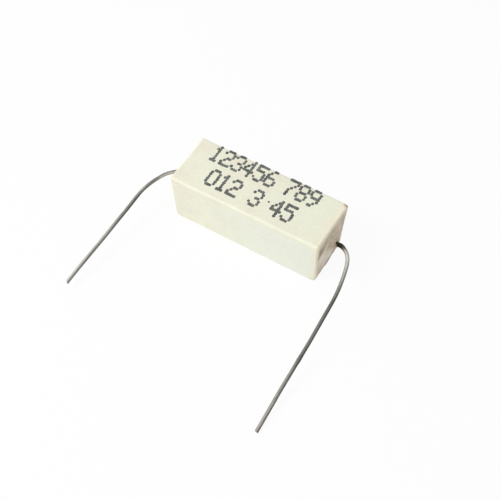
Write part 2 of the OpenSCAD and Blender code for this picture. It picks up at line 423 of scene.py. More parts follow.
def end_face(edge, slot_y, slot_z, sign):
    """Points of one end face: a straight blend from the skin's last ring to the slot's mouth.

    Its x leaves the ring's own and reaches the end plane, less the relief, in a third of the way.
    """
    t = steps(0.0, 1.0, FACE_STEPS)[1:]
    y = edge[:, None, 1] * (1 - t) + slot_y[:, None] * t
    z = edge[:, None, 2] * (1 - t) + slot_z[:, None] * t
    rise = smooth_step(t * 3.0)
    x = edge[:, None, 0] * (1 - rise) + sign * (end_plane(y, z, sign) - end_relief(y, z, sign)) * rise
    return np.stack([x, y, z], axis=-1)


def case_surface():
    """The case as one closed grid: i runs over the section's arch, j runs round a loop in x.

    The loop is the outer skin from the left end to the right, the right end face from its edge in to
    the slot, the slot and trough walls back to the left, and the left end face out again.
    """
    skin = case_skin()
    rows = len(skin)
    slot = inner_section(rows, SLOT_HALF, SLOT_TOP, SLOT_HALF - SLOT_FLAT)
    trough_y, trough_z = inner_section(rows, TROUGH_HALF, TROUGH_TOP, TROUGH_R)
    trough_y = trough_y - np.sign(trough_y) * (TROUGH_TOP - trough_z) * math.tan(SIDE_DRAFT)
    trough = (trough_y, trough_z)
    walls = [
        (HALF_L - MOUTH_DEPTH, slot), (END_WALL, slot), (END_WALL - WALL_STEP, trough), (0.0, trough),
        (WALL_STEP - END_WALL, trough), (-END_WALL, slot), (MOUTH_DEPTH - HALF_L, slot)]
    inside = np.stack([
        np.stack([np.full(rows, x), arch[0], arch[1]], axis=-1) for x, arch in walls], axis=1)
    right = end_face(skin[:, -1], *slot, 1)
    left = end_face(skin[:, 0], *slot, -1)[:, ::-1]
    return np.concatenate([skin, right, inside, left], axis=1)


def rim_caps(points):
    """Flat fillings of a grid's first and last loops, facing down, as quads with their last index twice."""
    rows, cols = points.shape[:2]
    caps = []
    for row in (0, rows - 1):
        ring = points[row]
        tris = np.array(tessellate_polygon([ring.tolist()]))
        a, b, c = ring[tris[:, 0]], ring[tris[:, 1]], ring[tris[:, 2]]
        up = np.cross(b - a, c - a)[:, 2] > 0.0
        tris[up] = tris[up][:, ::-1]
        caps.append(np.concatenate([tris, tris[:, 2:]], axis=1) + row * cols)
    return np.concatenate(caps)


# The cement

# Points across a plug's face and from its outline in to the line below the lead
PLUG_ROWS = 161
PLUG_COLS = 36

# A plug is this much bigger than its slot, and the plugs and the bed run past the end walls' inside
PLUG_LAP = 0.10
CEMENT_LAP = 0.06

# Radius of the barrel across a plug's face, half the width it is worked out over, and its least height
BARREL_R = 2.6
BARREL_HALF = 1.3
BARREL_LEAST = 0.005

# The share of the barrel left at the plug's foot, and the height up to which it is worn
FOOT_LEFT = 0.35
FOOT_WORN_H = 2.0

# How far out from the wire a collar's foot is, and the power by which the collar falls to it
COLLAR_FOOT = 0.65
COLLAR_POWER = 2.6

# Noises of the cement, as (height, size, seed)
PLUG_GRAIN = [(0.030, 0.9, 62), (0.016, 0.35, 63)]
PLUG_WOBBLE = [(0.05, 0.8, 61)]
BED_GRAIN = [(0.035, 2.2, 71), (0.02, 0.6, 72), (0.01, 0.3, 73)]

# How far in a plug's edge lies and over what share of the way in from its outline it rises, and how
# far inside the end its side bends and its foot closes
PLUG_EDGE_IN = 0.03
PLUG_EDGE_SHARE = 0.12
PLUG_SIDE_IN = 0.4
PLUG_FOOT_IN = 1.0

# The bed in the open underside: half its width, a little into the walls, its steps, its depth in the
# walls, the dip of its middle and over what width, the dip of its grain, the least dip anywhere, and
# its pits
BED_HALF_W = 2.8
BED_HALF_L = END_WALL + CEMENT_LAP
BED_ROWS = 150
BED_COLS = 48
BED_DEPTH = 0.9
BED_SUNK = 0.05
BED_SUNK_W = 1.2
BED_DIP = 0.055
BED_LEAST = 0.004
PIT_NOISE = (0.55, 74)
PIT_FROM = 0.62
PIT_DEPTH = 0.5


def plug_surface(sign, collar_l):
    """Cement in one slot: straight lines run from a slot-shaped outline to the line below the lead.

    Its face stands at the end plane plus a shallow barrel across the slot, worn lower at its foot, plus
    a collar that falls from the wire as a power of the distance to it, plus grain. The back is flat.
    """
    out_y, out_z = inner_section(
        PLUG_ROWS, SLOT_HALF + PLUG_LAP, SLOT_TOP + PLUG_LAP, SLOT_HALF + PLUG_LAP - SLOT_FLAT)
    ring = np.stack([np.full(PLUG_ROWS, 7.0 * sign), out_y, out_z], axis=-1)
    wobble = rough_height(ring, PLUG_WOBBLE, 1.0)
    out_y = out_y * (wobble + wobble[::-1]) / 2
    t = np.linspace(0.0, 1.0, PLUG_COLS) ** 0.9
    y = out_y[:, None] * (1 - t)
    z = out_z[:, None] * (1 - t) + np.minimum(out_z, LEAD_Z)[:, None] * t
    radius = np.hypot(y, z - LEAD_Z)
    fall = np.clip((radius - LEAD_R) / COLLAR_FOOT, 0.0, 1.0)
    collar = collar_l * (1.0 - fall) ** COLLAR_POWER
    barrel = np.sqrt(BARREL_R ** 2 - np.clip(y, -BARREL_HALF, BARREL_HALF) ** 2) - BARREL_R + PLUG_BULGE
    barrel = barrel * (FOOT_LEFT + (1.0 - FOOT_LEFT) * smooth_step(z / FOOT_WORN_H))
    barrel = np.maximum(barrel, BARREL_LEAST)
    edge = smooth_step(t / PLUG_EDGE_SHARE)[None, :]
    p = np.stack([np.full_like(y, 3.0 * sign), y, z], axis=-1)
    grain = rough_height(p, PLUG_GRAIN) * np.clip(radius / LEAD_R, 0.0, 1.0)
    face = end_plane(y, z, sign) + (barrel + grain) * edge - PLUG_EDGE_IN * (1 - edge) + collar
    back = np.full_like(y, END_WALL - CEMENT_LAP)
    side = np.full((PLUG_ROWS, 1), HALF_L - PLUG_SIDE_IN)
    x = np.concatenate([face[:, ::-1], side, back], axis=1) * sign
    y = np.concatenate([y[:, ::-1], y[:, :1], y], axis=1)
    z = np.concatenate([z[:, ::-1], z[:, :1], z], axis=1)
    points = np.stack([x, y, z], axis=-1)
    # The first and last rows are drawn together inside the plug, which closes its foot
    points = np.concatenate([points[:1], points, points[-1:]], axis=0)
    points[[0, -1], :, 0] = sign * (HALF_L - PLUG_FOOT_IN)
    return points if sign > 0 else points[:, ::-1]


def bed_surface():
    """Cement in the open underside: a section loop carried along x, its lower line dipping by noise.

    The loop closes over the bed's depth at the back and front, and its ends are drawn to a point.
    """
    x = np.linspace(-BED_HALF_L, BED_HALF_L, BED_ROWS)
    y = np.linspace(-BED_HALF_W, BED_HALF_W, BED_COLS)
    xx, yy = np.meshgrid(x, y, indexing="ij")
    p = np.stack([xx, yy, np.zeros_like(xx)], axis=-1)
    from_wall = np.minimum(BED_HALF_W - np.abs(yy), BED_HALF_L - np.abs(xx))
    sunk = BED_SUNK * smooth_step(from_wall / BED_SUNK_W) + BED_DIP
    z = np.maximum(rough_height(p, BED_GRAIN, sunk), BED_LEAST)
    pits = np.clip(lumps(p, *PIT_NOISE) - PIT_FROM, 0.0, 1.0) * PIT_DEPTH
    low = np.stack([xx, yy, z + pits], axis=-1)
    deep = np.full_like(x, BED_DEPTH)
    back = np.stack([x, np.full_like(x, BED_HALF_W), deep], axis=-1)[:, None, :]
    front = np.stack([x, np.full_like(x, -BED_HALF_W), deep], axis=-1)[:, None, :]
    loop = np.concatenate([low, back, front], axis=1)
    start = np.broadcast_to(loop[:1].mean(axis=1, keepdims=True), loop[:1].shape)
    end = np.broadcast_to(loop[-1:].mean(axis=1, keepdims=True), loop[-1:].shape)
    return np.concatenate([start, loop, end], axis=0)[::-1]


# The leads

# Bends and legs, with the legs 0.15 and 0.25 longer than the solids', and the slant of each cut
RIGHT_BENDS = {"out": 1.3, "bend_r": 2.35, "bend_a": 74.4, "sweep_r": 28.0, "sweep_a": 15.7, "leg": 19.35}
LEFT_BENDS = {"out": 0.35, "bend_r": 2.8, "bend_a": 47.9, "sweep_r": 8.8, "sweep_a": 38.6, "leg": 17.25}
RIGHT_CUT = 10.0
LEFT_CUT = 35.0

# Where a wire starts along its length, which counts from the end face, the step along it, and the
# points round it
LEAD_START = -0.6
LEAD_STEP = 0.06
LEAD_ROUND = 28

# Seeds of each wire's unevenness: its radius along it, by share and size, what it is thinner by, and
# the fine grain on it, by height and size, stretched along the wire and laid round it
RIGHT_SEED = 41
LEFT_SEED = 51
UNEVEN, UNEVEN_SIZE = 0.012, 1.7
THINNER = 0.004
GRAIN, GRAIN_SIZE = 0.006, 0.5
GRAIN_ALONG = 0.35
GRAIN_ROUND = 2.0

# Where each wire wavers and where a film thickens it, as (place, size, width)
RIGHT_WAVES = [
    (1.45, -0.16, 0.8), (3.8, 0.08, 0.8), (12.0, 0.03, 2.0), (17.5, -0.025, 2.0), (25.0, 0.045, 3.0)]
RIGHT_FILMS = [(0.75, 0.06, 0.4), (1.5, 0.07, 0.7), (3.8, 0.02, 1.4), (20.2, 0.03, 0.5)]
LEFT_WAVES = [(3.7, 0.09, 0.8), (8.9, 0.07, 2.4), (14.0, 0.03, 2.0), (23.0, 0.06, 4.0)]
LEFT_FILMS = [(1.0, 0.03, 0.8)]

# Over what length a cut's slant grows, and the domed tip: how far each ring stands out and draws in
CUT_L = 0.8
TIP_RINGS = [(0.03, 0.08), (0.04, 0.25), (0.035, 0.6), (0.045, 1.0)]

# Millimetres of wire to one unit of its map
WIRE_MAP = 40.0

# The way the leads point once bent: to the front, and down by the droop
FORWARD = np.array([0.0, -math.cos(DROOP), -math.sin(DROOP)])


def lead_path(sign, out, bend_r, bend_a, sweep_r, sweep_a, leg):
    """Middle line of a lead: the turn angle grows as length over radius through both bends.

    The direction is cos(angle) along x and sin(angle) along the drooped front direction, summed over
    short steps by the middle rule.
    """
    bend_len = bend_r * math.radians(bend_a)
    sweep_len = sweep_r * math.radians(sweep_a)
    total = out - LEAD_START + bend_len + sweep_len + leg
    s = np.linspace(LEAD_START, LEAD_START + total, int(total / LEAD_STEP))
    mid = (s[1:] + s[:-1]) / 2
    angle = np.clip((mid - out) / bend_r, 0.0, math.radians(bend_a))
    angle = angle + np.clip((mid - out - bend_len) / sweep_r, 0.0, math.radians(sweep_a))
    ds = np.diff(s)
    along = np.concatenate([[0.0], np.cumsum(np.cos(angle) * ds)]) + LEAD_START
    forward = np.concatenate([[0.0], np.cumsum(np.sin(angle) * ds)])
    line = np.array([0.0, 0.0, LEAD_Z]) + forward[:, None] * FORWARD
    line[:, 0] = sign * (HALF_L + along)
    return s, line


def lead_surface(sign, bends, cut, waves, films, seed):
    """Tube round the middle line: circle of slowly varying radius in the frame (side, up) of each station.

    The waves move the middle line sideways and the films thicken it, both as bell curves of the
    length. The last rings are slid along the wire by the slope of the cut and drawn in to a point.
    Also returns the map: the length in WIRE_MAP units, and the share of the way round.
    """
    s, line = lead_path(sign, **bends)
    across = np.cross(np.array([1.0, 0.0, 0.0]), FORWARD)
    tangent = np.gradient(line, axis=0)
    tangent = tangent / np.linalg.norm(tangent, axis=1)[:, None]
    side = np.cross(across[None, :], tangent)
    middle = line + side * bells(s, waves)[:, None]
    phi = np.arange(LEAD_ROUND) / LEAD_ROUND * 2 * math.pi
    station = np.stack([s, np.zeros_like(s), np.zeros_like(s)], axis=-1)
    radius = LEAD_R * (1.0 + UNEVEN * lumps(station, UNEVEN_SIZE, seed + 1))[:, None] - THINNER
    radius = radius + bells(s, films)[:, None]
    grain = np.stack(np.broadcast_arrays(
        s[:, None] * GRAIN_ALONG, GRAIN_ROUND * np.cos(phi)[None, :],
        GRAIN_ROUND * np.sin(phi)[None, :]), axis=-1)
    radius = radius + GRAIN * lumps(grain, GRAIN_SIZE, seed + 2)
    ring = (np.cos(phi)[None, :, None] * side[:, None, :]
            + np.sin(phi)[None, :, None] * across[None, None, :])
    body = middle[:, None, :] + radius[..., None] * ring

    slope = math.tan(math.radians(cut)) * smooth_step((s - s[-1] + CUT_L) / CUT_L)[:, None]
    slide = slope * LEAD_R * (1.0 + np.cos(phi)[None, :])
    body = body - tangent[:, None, :] * slide[..., None]

    tip = body[-1]
    centre = tip.mean(axis=0)
    dome = [tip + tangent[-1] * ahead + (centre - tip) * drawn for ahead, drawn in TIP_RINGS]
    root = np.broadcast_to(body[0].mean(axis=0), tip.shape)
    points = np.concatenate([root[None], body, np.array(dome)], axis=0)
    length = np.concatenate([[s[0]], s, [s[-1]] * len(TIP_RINGS)])
    turn = np.arange(LEAD_ROUND) / LEAD_ROUND
    uv = np.stack(np.broadcast_arrays(length[:, None] / WIRE_MAP, turn[None, :]), axis=-1)
    if sign < 0:
        return points[:, ::-1], uv[:, ::-1]
    return points, uv


# The printed digits, plain ones counted up in turn

DIGITS = {
    "0": "01110 10001 10001 10001 10001 10001 01110",
    "1": "00100 01100 00100 00100 00100 00100 01110",
    "2": "01110 10001 00001 00110 01000 10000 11111",
    "3": "01110 10001 00001 00110 00001 10001 01110",
    "4": "00010 00110 01010 10010 11111 00010 00010",
    "5": "11111 10000 11110 00001 00001 10001 01110",
    "6": "00110 01000 10000 11110 10001 10001 01110",
    "7": "11111 00001 00010 00100 01000 01000 01000",
    "8": "01110 10001 10001 01110 10001 10001 01110",
    "9": "01110 10001 10001 01111 00001 00010 01100",
}
LAST_ROW = 6

# Steps from digit to digit, from column to column and from row to row
DIGIT_STEP = 1.82
COL_STEP = 0.33
ROW_STEP = 0.462

# Each group, as (digits, x of its first column, y of its lowest row)
DIGIT_GROUPS = [
    ("123456", -9.30, 1.45), ("789", 3.15, 1.45),
    ("012", -7.40, -2.75), ("3", -0.25, -2.75), ("45", 3.15, -2.75)]

# A dot's radius, the points round it, what it is stretched by along and across the body, and how far
# the dots stray in place and in size
DOT_R = 0.268
DOT_ROUND = 14
DOT_ALONG = 0.92
DOT_ACROSS = 1.06
DOT_STRAY = 0.018
DOT_UNEVEN = 0.06

# A dot's rings from its middle over its rim and back under it, as (share of its radius, height)
DOT_RINGS = [(0.0, 0.016), (0.55, 0.015), (0.85, 0.010), (1.0, 0.002), (1.0, -0.10), (0.0, -0.10)]

# The full stop between the numbers
STOP_PLACE = (2.3, -1.0)
STOP_R = 0.18


def dot_places(text, left, low):
    """Centres of the printed dots of one group: column and row steps from its lower left corner."""
    places = []
    for index, digit in enumerate(text):
        cells = np.array([[int(c) for c in line] for line in DIGITS[digit].split()])
        row, col = np.nonzero(cells)
        places.append(np.stack([
            left + index * DIGIT_STEP + col * COL_STEP, low + (LAST_ROW - row) * ROW_STEP], axis=-1))
    return np.concatenate(places)


def ink_surface(places):
    """One low dome a dot: rings at shares of its radius, each at its height over the face's own wave.

    The last place is the full stop's.
    """
    rng = np.random.default_rng(7)
    count = len(places)
    centre = places + rng.normal(0.0, DOT_STRAY, (count, 2))
    radius = DOT_R * (1.0 + rng.normal(0.0, DOT_UNEVEN, count))
    radius[-1] = STOP_R
    phi = np.arange(DOT_ROUND) / DOT_ROUND * 2 * math.pi
    share, height = np.array(DOT_RINGS).T
    reach = radius[:, None, None] * share[None, :, None]
    x = centre[:, None, None, 0] + reach * np.cos(phi)[None, None, :] * DOT_ALONG
    y = centre[:, None, None, 1] + reach * np.sin(phi)[None, None, :] * DOT_ACROSS
    z = CASE_H + top_wave(x, y) + height[None, :, None]
    points = np.stack([x, y, z], axis=-1)
    one = grid_faces(len(DOT_RINGS), DOT_ROUND, wrap_cols=True)
    first = np.arange(count) * len(DOT_RINGS) * DOT_ROUND
    return points, (one[None, :, :] + first[:, None, None]).reshape(-1, 4)


# Materials

# Spots on the right end, as ((x, y, z), radius, strength): painted shade under the top edge, round and
# under the lead and along the foot, and paler smears between
PAINTED_SHADE_SPOTS = [
    ((12.0, -3.3, 6.3), 1.5, 0.95), ((12.0, -2.3, 7.0), 1.4, 0.6), ((12.0, -0.4, 7.6), 1.4, 0.35),
    ((12.1, 1.6, 3.2), 1.5, 0.9), ((12.1, 2.3, 2.2), 1.2, 0.9), ((12.1, -0.3, 0.5), 0.9, 0.9),
    ((12.0, 3.8, 6.6), 1.8, 0.4)]
PALE_SMEARS = [
    ((12.0, -2.6, 4.0), 2.0, 1.0), ((12.1, -0.9, 3.0), 1.8, 0.9), ((12.0, -3.4, 5.0), 1.0, 0.7),
    ((12.1, 0.4, 2.1), 1.3, 1.0), ((12.1, -1.6, 1.5), 1.4, 0.7)]

# The burnt ring round the right lead's root and the stain at the back right corner, as (place, radius)
BURNT = ((13.0, 0.0, 5.32), 0.6)
STAIN = ((11.9, 4.1, 9.1), 0.55)

# The stretch in from the top edge and from the side edges over which an end's rubbed cement sets in
RUB_TOP = (0.15, 0.95)
RUB_SIDE = (0.1, 0.6)

# Tones along each wire, as (length, screen values); the pale stretch on the bends is a painted highlight
RIGHT_TONES_AND_HIGHLIGHT = [
    (0.2, (52, 43, 34)), (1.5, (48, 40, 32)), (2.0, (92, 83, 73)), (2.5, (182, 178, 168)),
    (3.2, (238, 238, 230)), (5.0, (226, 226, 218)), (6.5, (197, 196, 189)), (8.5, (156, 154, 148)),
    (11.0, (118, 116, 111)), (15.0, (137, 135, 130)), (20.0, (132, 129, 124)), (23.0, (160, 157, 149)),
    (30.0, (174, 170, 161))]
LEFT_TONES_AND_HIGHLIGHT = [
    (0.4, (160, 155, 145)), (2.5, (212, 209, 200)), (6.5, (214, 210, 203)), (9.5, (152, 150, 144)),
    (13.0, (156, 154, 148)), (16.0, (187, 184, 176)), (25.0, (208, 204, 195))]

# Where a wire's painted shade, on its side away from the lamp, lies as a share of a round, the stretch of
# the map over which it turns there, and how far from there each wire's starts
SHADED_SIDE = 0.47
SHADE_TURN = (0.11, 0.19)
RIGHT_TWIST = 0.0
LEFT_TWIST = 0.42

FULL_TURN = 2.0 * math.pi


def tone(r, g, b):
    """A shader colour from screen values of 0 to 255."""
    v = np.array([r, g, b]) / 255.0
    lin = np.where(v <= 0.04045, v / 12.92, ((v + 0.055) / 1.055) ** 2.4)
    return (float(lin[0]), float(lin[1]), float(lin[2]), 1.0)


def grey(value):
    """A shader colour with one value for red, green and blue."""
    return (value, value, value, 1.0)


WHITE = grey(1.0)


def add_node(tree, kind, inputs, **settings):
    """A node with its settings, and each input joined to an output or given a plain value."""
    node = tree.nodes.new(kind)
    for name, value in settings.items():
        setattr(node, name, value)
    for key, value in inputs.items():
        if isinstance(value, bpy.types.NodeSocket):
            tree.links.new(value, node.inputs[key])
        else:
            node.inputs[key].default_value = value
    return node


# The noise that makes spots ragged: its scale, and how far it moves them in millimetres
RAGGED_SCALE = 650.0
RAGGED = 1.5


class Finish:
    """A node material with short calls for the nodes that the finishes share."""

    def __init__(self, name):
        self.material = bpy.data.materials.new(name)
        self.material.use_nodes = True
        self.tree = self.material.node_tree
        self.shader = self.tree.nodes["Principled BSDF"]
        self.place = self.tree.nodes.new("ShaderNodeTexCoord").outputs["Object"]

    def node(self, kind, inputs, **settings):
        """A node in this material, as add_node makes it."""
        return add_node(self.tree, kind, inputs, **settings)

    def noise(self, scale, detail=3.0, vector=None, rough=0.55, output="Fac"):
        """Noise over the place in metres, or over another vector, around one half."""
        vector = self.place if vector is None else vector
        return self.node("ShaderNodeTexNoise", {
            "Scale": scale, "Detail": detail, "Roughness": rough, "Vector": vector}).outputs[output]

    def ramp(self, value, stops):
        """Colour by value, between stops given as (value, colour)."""
        node = self.node("ShaderNodeValToRGB", {"Fac": value})
        ramp = node.color_ramp
        ramp.elements[0].position = stops[0][0]
        ramp.elements[0].color = stops[0][1]
        ramp.elements[1].position = stops[-1][0]
        ramp.elements[1].color = stops[-1][1]
        for position, color in stops[1:-1]:
            ramp.elements.new(position).color = color
        return node.outputs["Color"]

    def spread(self, value, low, high, to_low=0.0, to_high=1.0):
        """The value's stretch from low to high laid evenly on another, and held at its ends."""
        return self.node("ShaderNodeMapRange", {
            "Value": value, "From Min": low, "From Max": high,
            "To Min": to_low, "To Max": to_high}).outputs["Result"]

    def mix(self, share, a, b, kind="MIX"):
        """The colour a with the share of b laid over it, or joined to it in another kind."""
        # The mix node keeps its colours in inputs 6 and 7, and its colour in output 2
        return self.node(
            "ShaderNodeMix", {0: share, 6: a, 7: b}, data_type="RGBA", blend_type=kind).outputs[2]

    def math(self, kind, a, b=None):
        """One step of arithmetic on outputs or plain numbers."""
        inputs = {0: a} if b is None else {0: a, 1: b}
        return self.node("ShaderNodeMath", inputs, operation=kind).outputs[0]

    def axes(self, vector=None):
        """The x, y and z of the place, or of another vector."""
        return self.node("ShaderNodeSeparateXYZ", {0: self.place if vector is None else vector}).outputs

    def near(self, point, radius, vector=None):
        """1 at a point, in millimetres, falling to 0 at the radius."""
        away = self.node("ShaderNodeVectorMath", {
            0: self.place if vector is None else vector, 1: [c * MM for c in point]}, operation="DISTANCE")
        return self.spread(away.outputs["Value"], 0.0, radius * MM, 1.0, 0.0)

    def ruffled(self, amount):
        """The place moved in y and z by up to the amount, in millimetres, by a noise of several sizes."""
        stray = self.noise(RAGGED_SCALE, rough=0.5, output="Color")
        moved = self.node("ShaderNodeVectorMath", {
            0: stray, 1: (0.0, amount * 2.0 * MM, amount * 2.0 * MM), 2: self.place},
            operation="MULTIPLY_ADD")
        centred = self.node("ShaderNodeVectorMath", {
            0: moved.outputs[0], 1: (0.0, amount * MM, amount * MM)}, operation="SUBTRACT")
        return centred.outputs[0]

    def spots(self, places):
        """Sum of soft ragged spots, each given as (point, radius, strength)."""
        vector = self.ruffled(RAGGED)
        total = None
        for point, radius, strength in places:
            spot = self.math("MULTIPLY", self.near(point, radius, vector), strength)
            total = spot if total is None else self.math("ADD", total, spot)
        return total

    def vector(self, x, y, z):
        """A vector of three outputs."""
        return self.node("ShaderNodeCombineXYZ", {0: x, 1: y, 2: z}).outputs[0]

    def feed(self, name, socket):
        """Joins an output to the shader's input of that name."""
        self.tree.links.new(socket, self.shader.inputs[name])

    def bump(self, height, strength, distance):
        """Relief in the shading, from a height whose full swing is the distance in millimetres."""
        node = self.node("ShaderNodeBump", {
            "Strength": strength, "Distance": distance * MM, "Height": height})
        self.feed("Normal", node.outputs["Normal"])

    def color(self, socket):
        """Gives the shader its base colour."""
        self.feed("Base Color", socket)

    def rough(self, socket):
        """Gives the shader its roughness."""
        self.feed("Roughness", socket)


def paste_color(f, mottle):
    """Pinkish-grey cement, with painted shade on the right end, paler smears there, and burnt round the
    right lead.
    """
    color = f.ramp(mottle, [
        (0.32, tone(212, 195, 172)), (0.5, tone(229, 214, 192)), (0.68, tone(239, 226, 206))])
    # Painted shade: the right end darker under its top edge, round and under the lead and along its foot
    color = f.mix(f.spots(PAINTED_SHADE_SPOTS), color, tone(172, 154, 130))
    color = f.mix(f.math("MINIMUM", f.spots(PALE_SMEARS), 1.0), color, tone(255, 246, 232))
    grain = f.ramp(f.noise(3300.0, 4.0, rough=0.7), [
        (0.36, (0.80, 0.79, 0.77, 1.0)), (0.46, grey(0.95)), (0.62, WHITE)])
    color = f.mix(0.85, color, grain, "MULTIPLY")
    return f.mix(f.near(*BURNT), color, tone(78, 64, 50))


def ivory_color(f, x, y, z):
    """Ivory with a faint blush, paler to the right, its front cooler to the right under the top edge."""
    base = f.ramp(f.noise(260.0, 4.0), [
        (0.30, tone(237, 232, 212)), (0.50, tone(240, 239, 218)), (0.70, tone(241, 243, 221))])
    blush = f.spread(f.noise(420.0, 2.0), 0.55, 0.75, 0.0, 0.25)
    base = f.mix(blush, base, tone(236, 224, 208))
    base = f.mix(f.spread(x, 4.0 * MM, 9.0 * MM, 0.0, 0.7), base, tone(243, 245, 223))
    cool = f.math("MULTIPLY", f.spread(y, -3.2 * MM, -3.7 * MM), f.spread(z, 8.7 * MM, 7.6 * MM))
    cool = f.math("MULTIPLY", cool, f.spread(x, -8.0 * MM, 6.0 * MM, 0.15, 0.75))
    base = f.mix(cool, base, tone(239, 242, 230))
    grain = f.ramp(f.noise(2400.0, 3.0), [(0.35, grey(0.94)), (0.65, WHITE)])
    return f.mix(0.8, base, grain, "MULTIPLY")


def fired_ceramic():
    """Matte ivory ceramic, its ends rubbed with cement inside a bare edge, with painted light on the bare
    ceramic near the right end and a painted highlight on the worn, rounded end edges.

    Its back right corner is stained.
    """
    f = Finish("fired_ceramic")
    x, y, z = f.axes()[:3]
    mottle = f.noise(900.0, 5.0)
    base = ivory_color(f, x, y, z)
    depth = f.math("SUBTRACT", CASE_H * MM, z)
    # Distance out along the body, and out to its sides, each with its draft
    out = f.math("ADD", f.math("ABSOLUTE", x), f.math("MULTIPLY", depth, math.tan(END_DRAFT)))
    side = f.math("ADD", f.math("ABSOLUTE", y), f.math("MULTIPLY", depth, math.tan(SIDE_DRAFT)))
    ragged = f.spread(mottle, 0.3, 0.7, -0.2 * MM, 0.2 * MM)
    from_top = f.spread(f.math("ADD", depth, ragged), RUB_TOP[0] * MM, RUB_TOP[1] * MM)
    from_side = f.spread(
        f.math("ADD", side, ragged), (HALF_W - RUB_SIDE[0]) * MM, (HALF_W - RUB_SIDE[1]) * MM)
    inset = f.math("MINIMUM", from_top, from_side)
    rubbed = f.math("MULTIPLY", f.spread(out, 11.80 * MM, 11.90 * MM), inset)
    paste = f.math("MULTIPLY", rubbed, f.spread(mottle, 0.25, 0.45, 0.85, 1.0))
    base = f.mix(paste, base, paste_color(f, mottle))
    bare = f.spread(rubbed, 0.0, 0.2, 1.0, 0.0)
    # Painted light: the bare ceramic near the right end warmer and paler, as where light falls on it
    warm = f.math("MULTIPLY", f.spread(x, 10.6 * MM, 12.0 * MM), f.spread(mottle, 0.35, 0.65, 0.2, 0.8))
    base = f.mix(f.math("MULTIPLY", warm, bare), base, tone(247, 232, 201))
    # Painted highlight: the worn, rounded edges round both ends paler, as lit
    worn = f.math("MULTIPLY", f.spread(out, 11.88 * MM, 11.97 * MM), f.spread(rubbed, 0.2, 0.8, 0.9, 0.0))
    base = f.mix(worn, base, tone(253, 244, 219))
    stain = f.math("MULTIPLY", f.near(*STAIN), f.spread(f.noise(1500.0), 0.25, 0.45))
    base = f.mix(stain, base, tone(158, 132, 108))
    f.color(base)
    f.rough(f.spread(f.noise(900.0), 0.3, 0.7, 0.62, 0.82))
    f.shader.inputs["Specular IOR Level"].default_value = 0.35
    f.bump(f.noise(2600.0, 5.0, rough=0.65), 0.35, 0.03)
    return f.material


def cement_paste():
    """Rough cement, of the paste's colour mottled by noise."""
    f = Finish("cement_paste")
    f.color(paste_color(f, f.noise(900.0, 5.0)))
    f.rough(f.spread(f.noise(1500.0), 0.3, 0.7, 0.8, 0.95))
    f.shader.inputs["Specular IOR Level"].default_value = 0.25
    f.bump(f.noise(1900.0, 6.0, rough=0.7), 0.6, 0.09)
    return f.material


def white_core():
    """Matte white ceramic of the core rod."""
    f = Finish("white_core")
    f.color(f.ramp(f.noise(600.0), [(0.35, tone(222, 220, 210)), (0.65, tone(240, 238, 230))]))
    f.rough(f.spread(f.noise(1200.0), 0.3, 0.7, 0.6, 0.8))
    f.bump(f.noise(2500.0, 5.0), 0.3, 0.02)
    return f.material


def metal(name, dark, pale, rough_low, rough_high, scale):
    """Bare metal that a noise of the scale mottles between two tones and two roughnesses."""
    f = Finish(name)
    f.color(f.ramp(f.noise(scale), [(0.35, tone(*dark)), (0.65, tone(*pale))]))
    f.shader.inputs["Metallic"].default_value = 1.0
    f.rough(f.spread(f.noise(scale * 2.5), 0.3, 0.7, rough_low, rough_high))
    f.bump(f.noise(scale * 4.0, 4.0), 0.2, 0.01)
    return f.material


def tinned_wire(name, stops, twist):
    """Tin over copper: its tone, with a painted highlight on the bends, runs along the wire by the map's
    first axis, its length over WIRE_MAP.

    The second axis goes once round: a painted shade on the side away from the lamp follows its cosine,
    turned by `twist` of a round near the body, and the streaks of drawing are noise over the circle,
    stretched along the wire.
    """
    f = Finish(name)
    run = f.axes(f.node("ShaderNodeUVMap", {}, uv_map="along").outputs["UV"])
    length = f.math("ADD", run[0], f.spread(f.noise(1300.0, 2.0), 0.0, 1.0, -0.008, 0.008))
    base = f.ramp(length, [(at / WIRE_MAP, tone(*color)) for at, color in stops])
    turn = f.math("MULTIPLY", run[1], FULL_TURN)
    circle = f.vector(f.math("MULTIPLY", run[0], 5.0), f.math("COSINE", turn), f.math("SINE", turn))
    streak = f.noise(2.6, 3.0, circle)
    # Painted shade: the side of the wire away from the lamp darkened by the cosine round it, with the
    # streaks of drawing on it
    middle = f.spread(run[0], *SHADE_TURN, FULL_TURN * (SHADED_SIDE + twist), FULL_TURN * SHADED_SIDE)
    side_shade = f.math("COSINE", f.math("SUBTRACT", turn, middle))
    side_shade = f.math("ADD", f.spread(side_shade, -1.0, 1.0), f.spread(streak, 0.3, 0.7, -0.18, 0.18))
    shade = f.ramp(side_shade, [(0.0, WHITE), (0.42, grey(0.84)), (0.68, grey(0.52)), (0.95, grey(0.30))])
    base = f.mix(1.0, base, shade, "MULTIPLY")
    mottle = f.ramp(f.noise(2300.0, 4.0), [(0.3, grey(0.62)), (0.7, WHITE)])
    f.color(f.mix(0.5, base, mottle, "MULTIPLY"))
    f.shader.inputs["Metallic"].default_value = 0.8
    f.rough(f.spread(f.noise(1700.0), 0.3, 0.7, 0.34, 0.52))
    f.bump(f.noise(3300.0, 4.0), 0.35, 0.02)
    return f.material


def print_ink():
    """Dark grey-green ink, uneven as printed."""
    f = Finish("print_ink")
    f.color(f.ramp(f.noise(1000.0), [
        (0.3, tone(66, 70, 68)), (0.5, tone(94, 98, 94)), (0.72, tone(130, 132, 126))]))
    f.rough(f.spread(f.noise(2000.0), 0.3, 0.7, 0.5, 0.7))
    f.bump(f.noise(4000.0), 0.3, 0.01)
    return f.material


def dress(piece, material):
    """Gives a piece one material in place of those that it has."""
    piece.data.materials.clear()
    piece.data.materials.append(material)


# Making the pieces

# Edges over this many degrees stay sharp on a wire, whose cut tip has them
WIRE_SHARP = 50.0


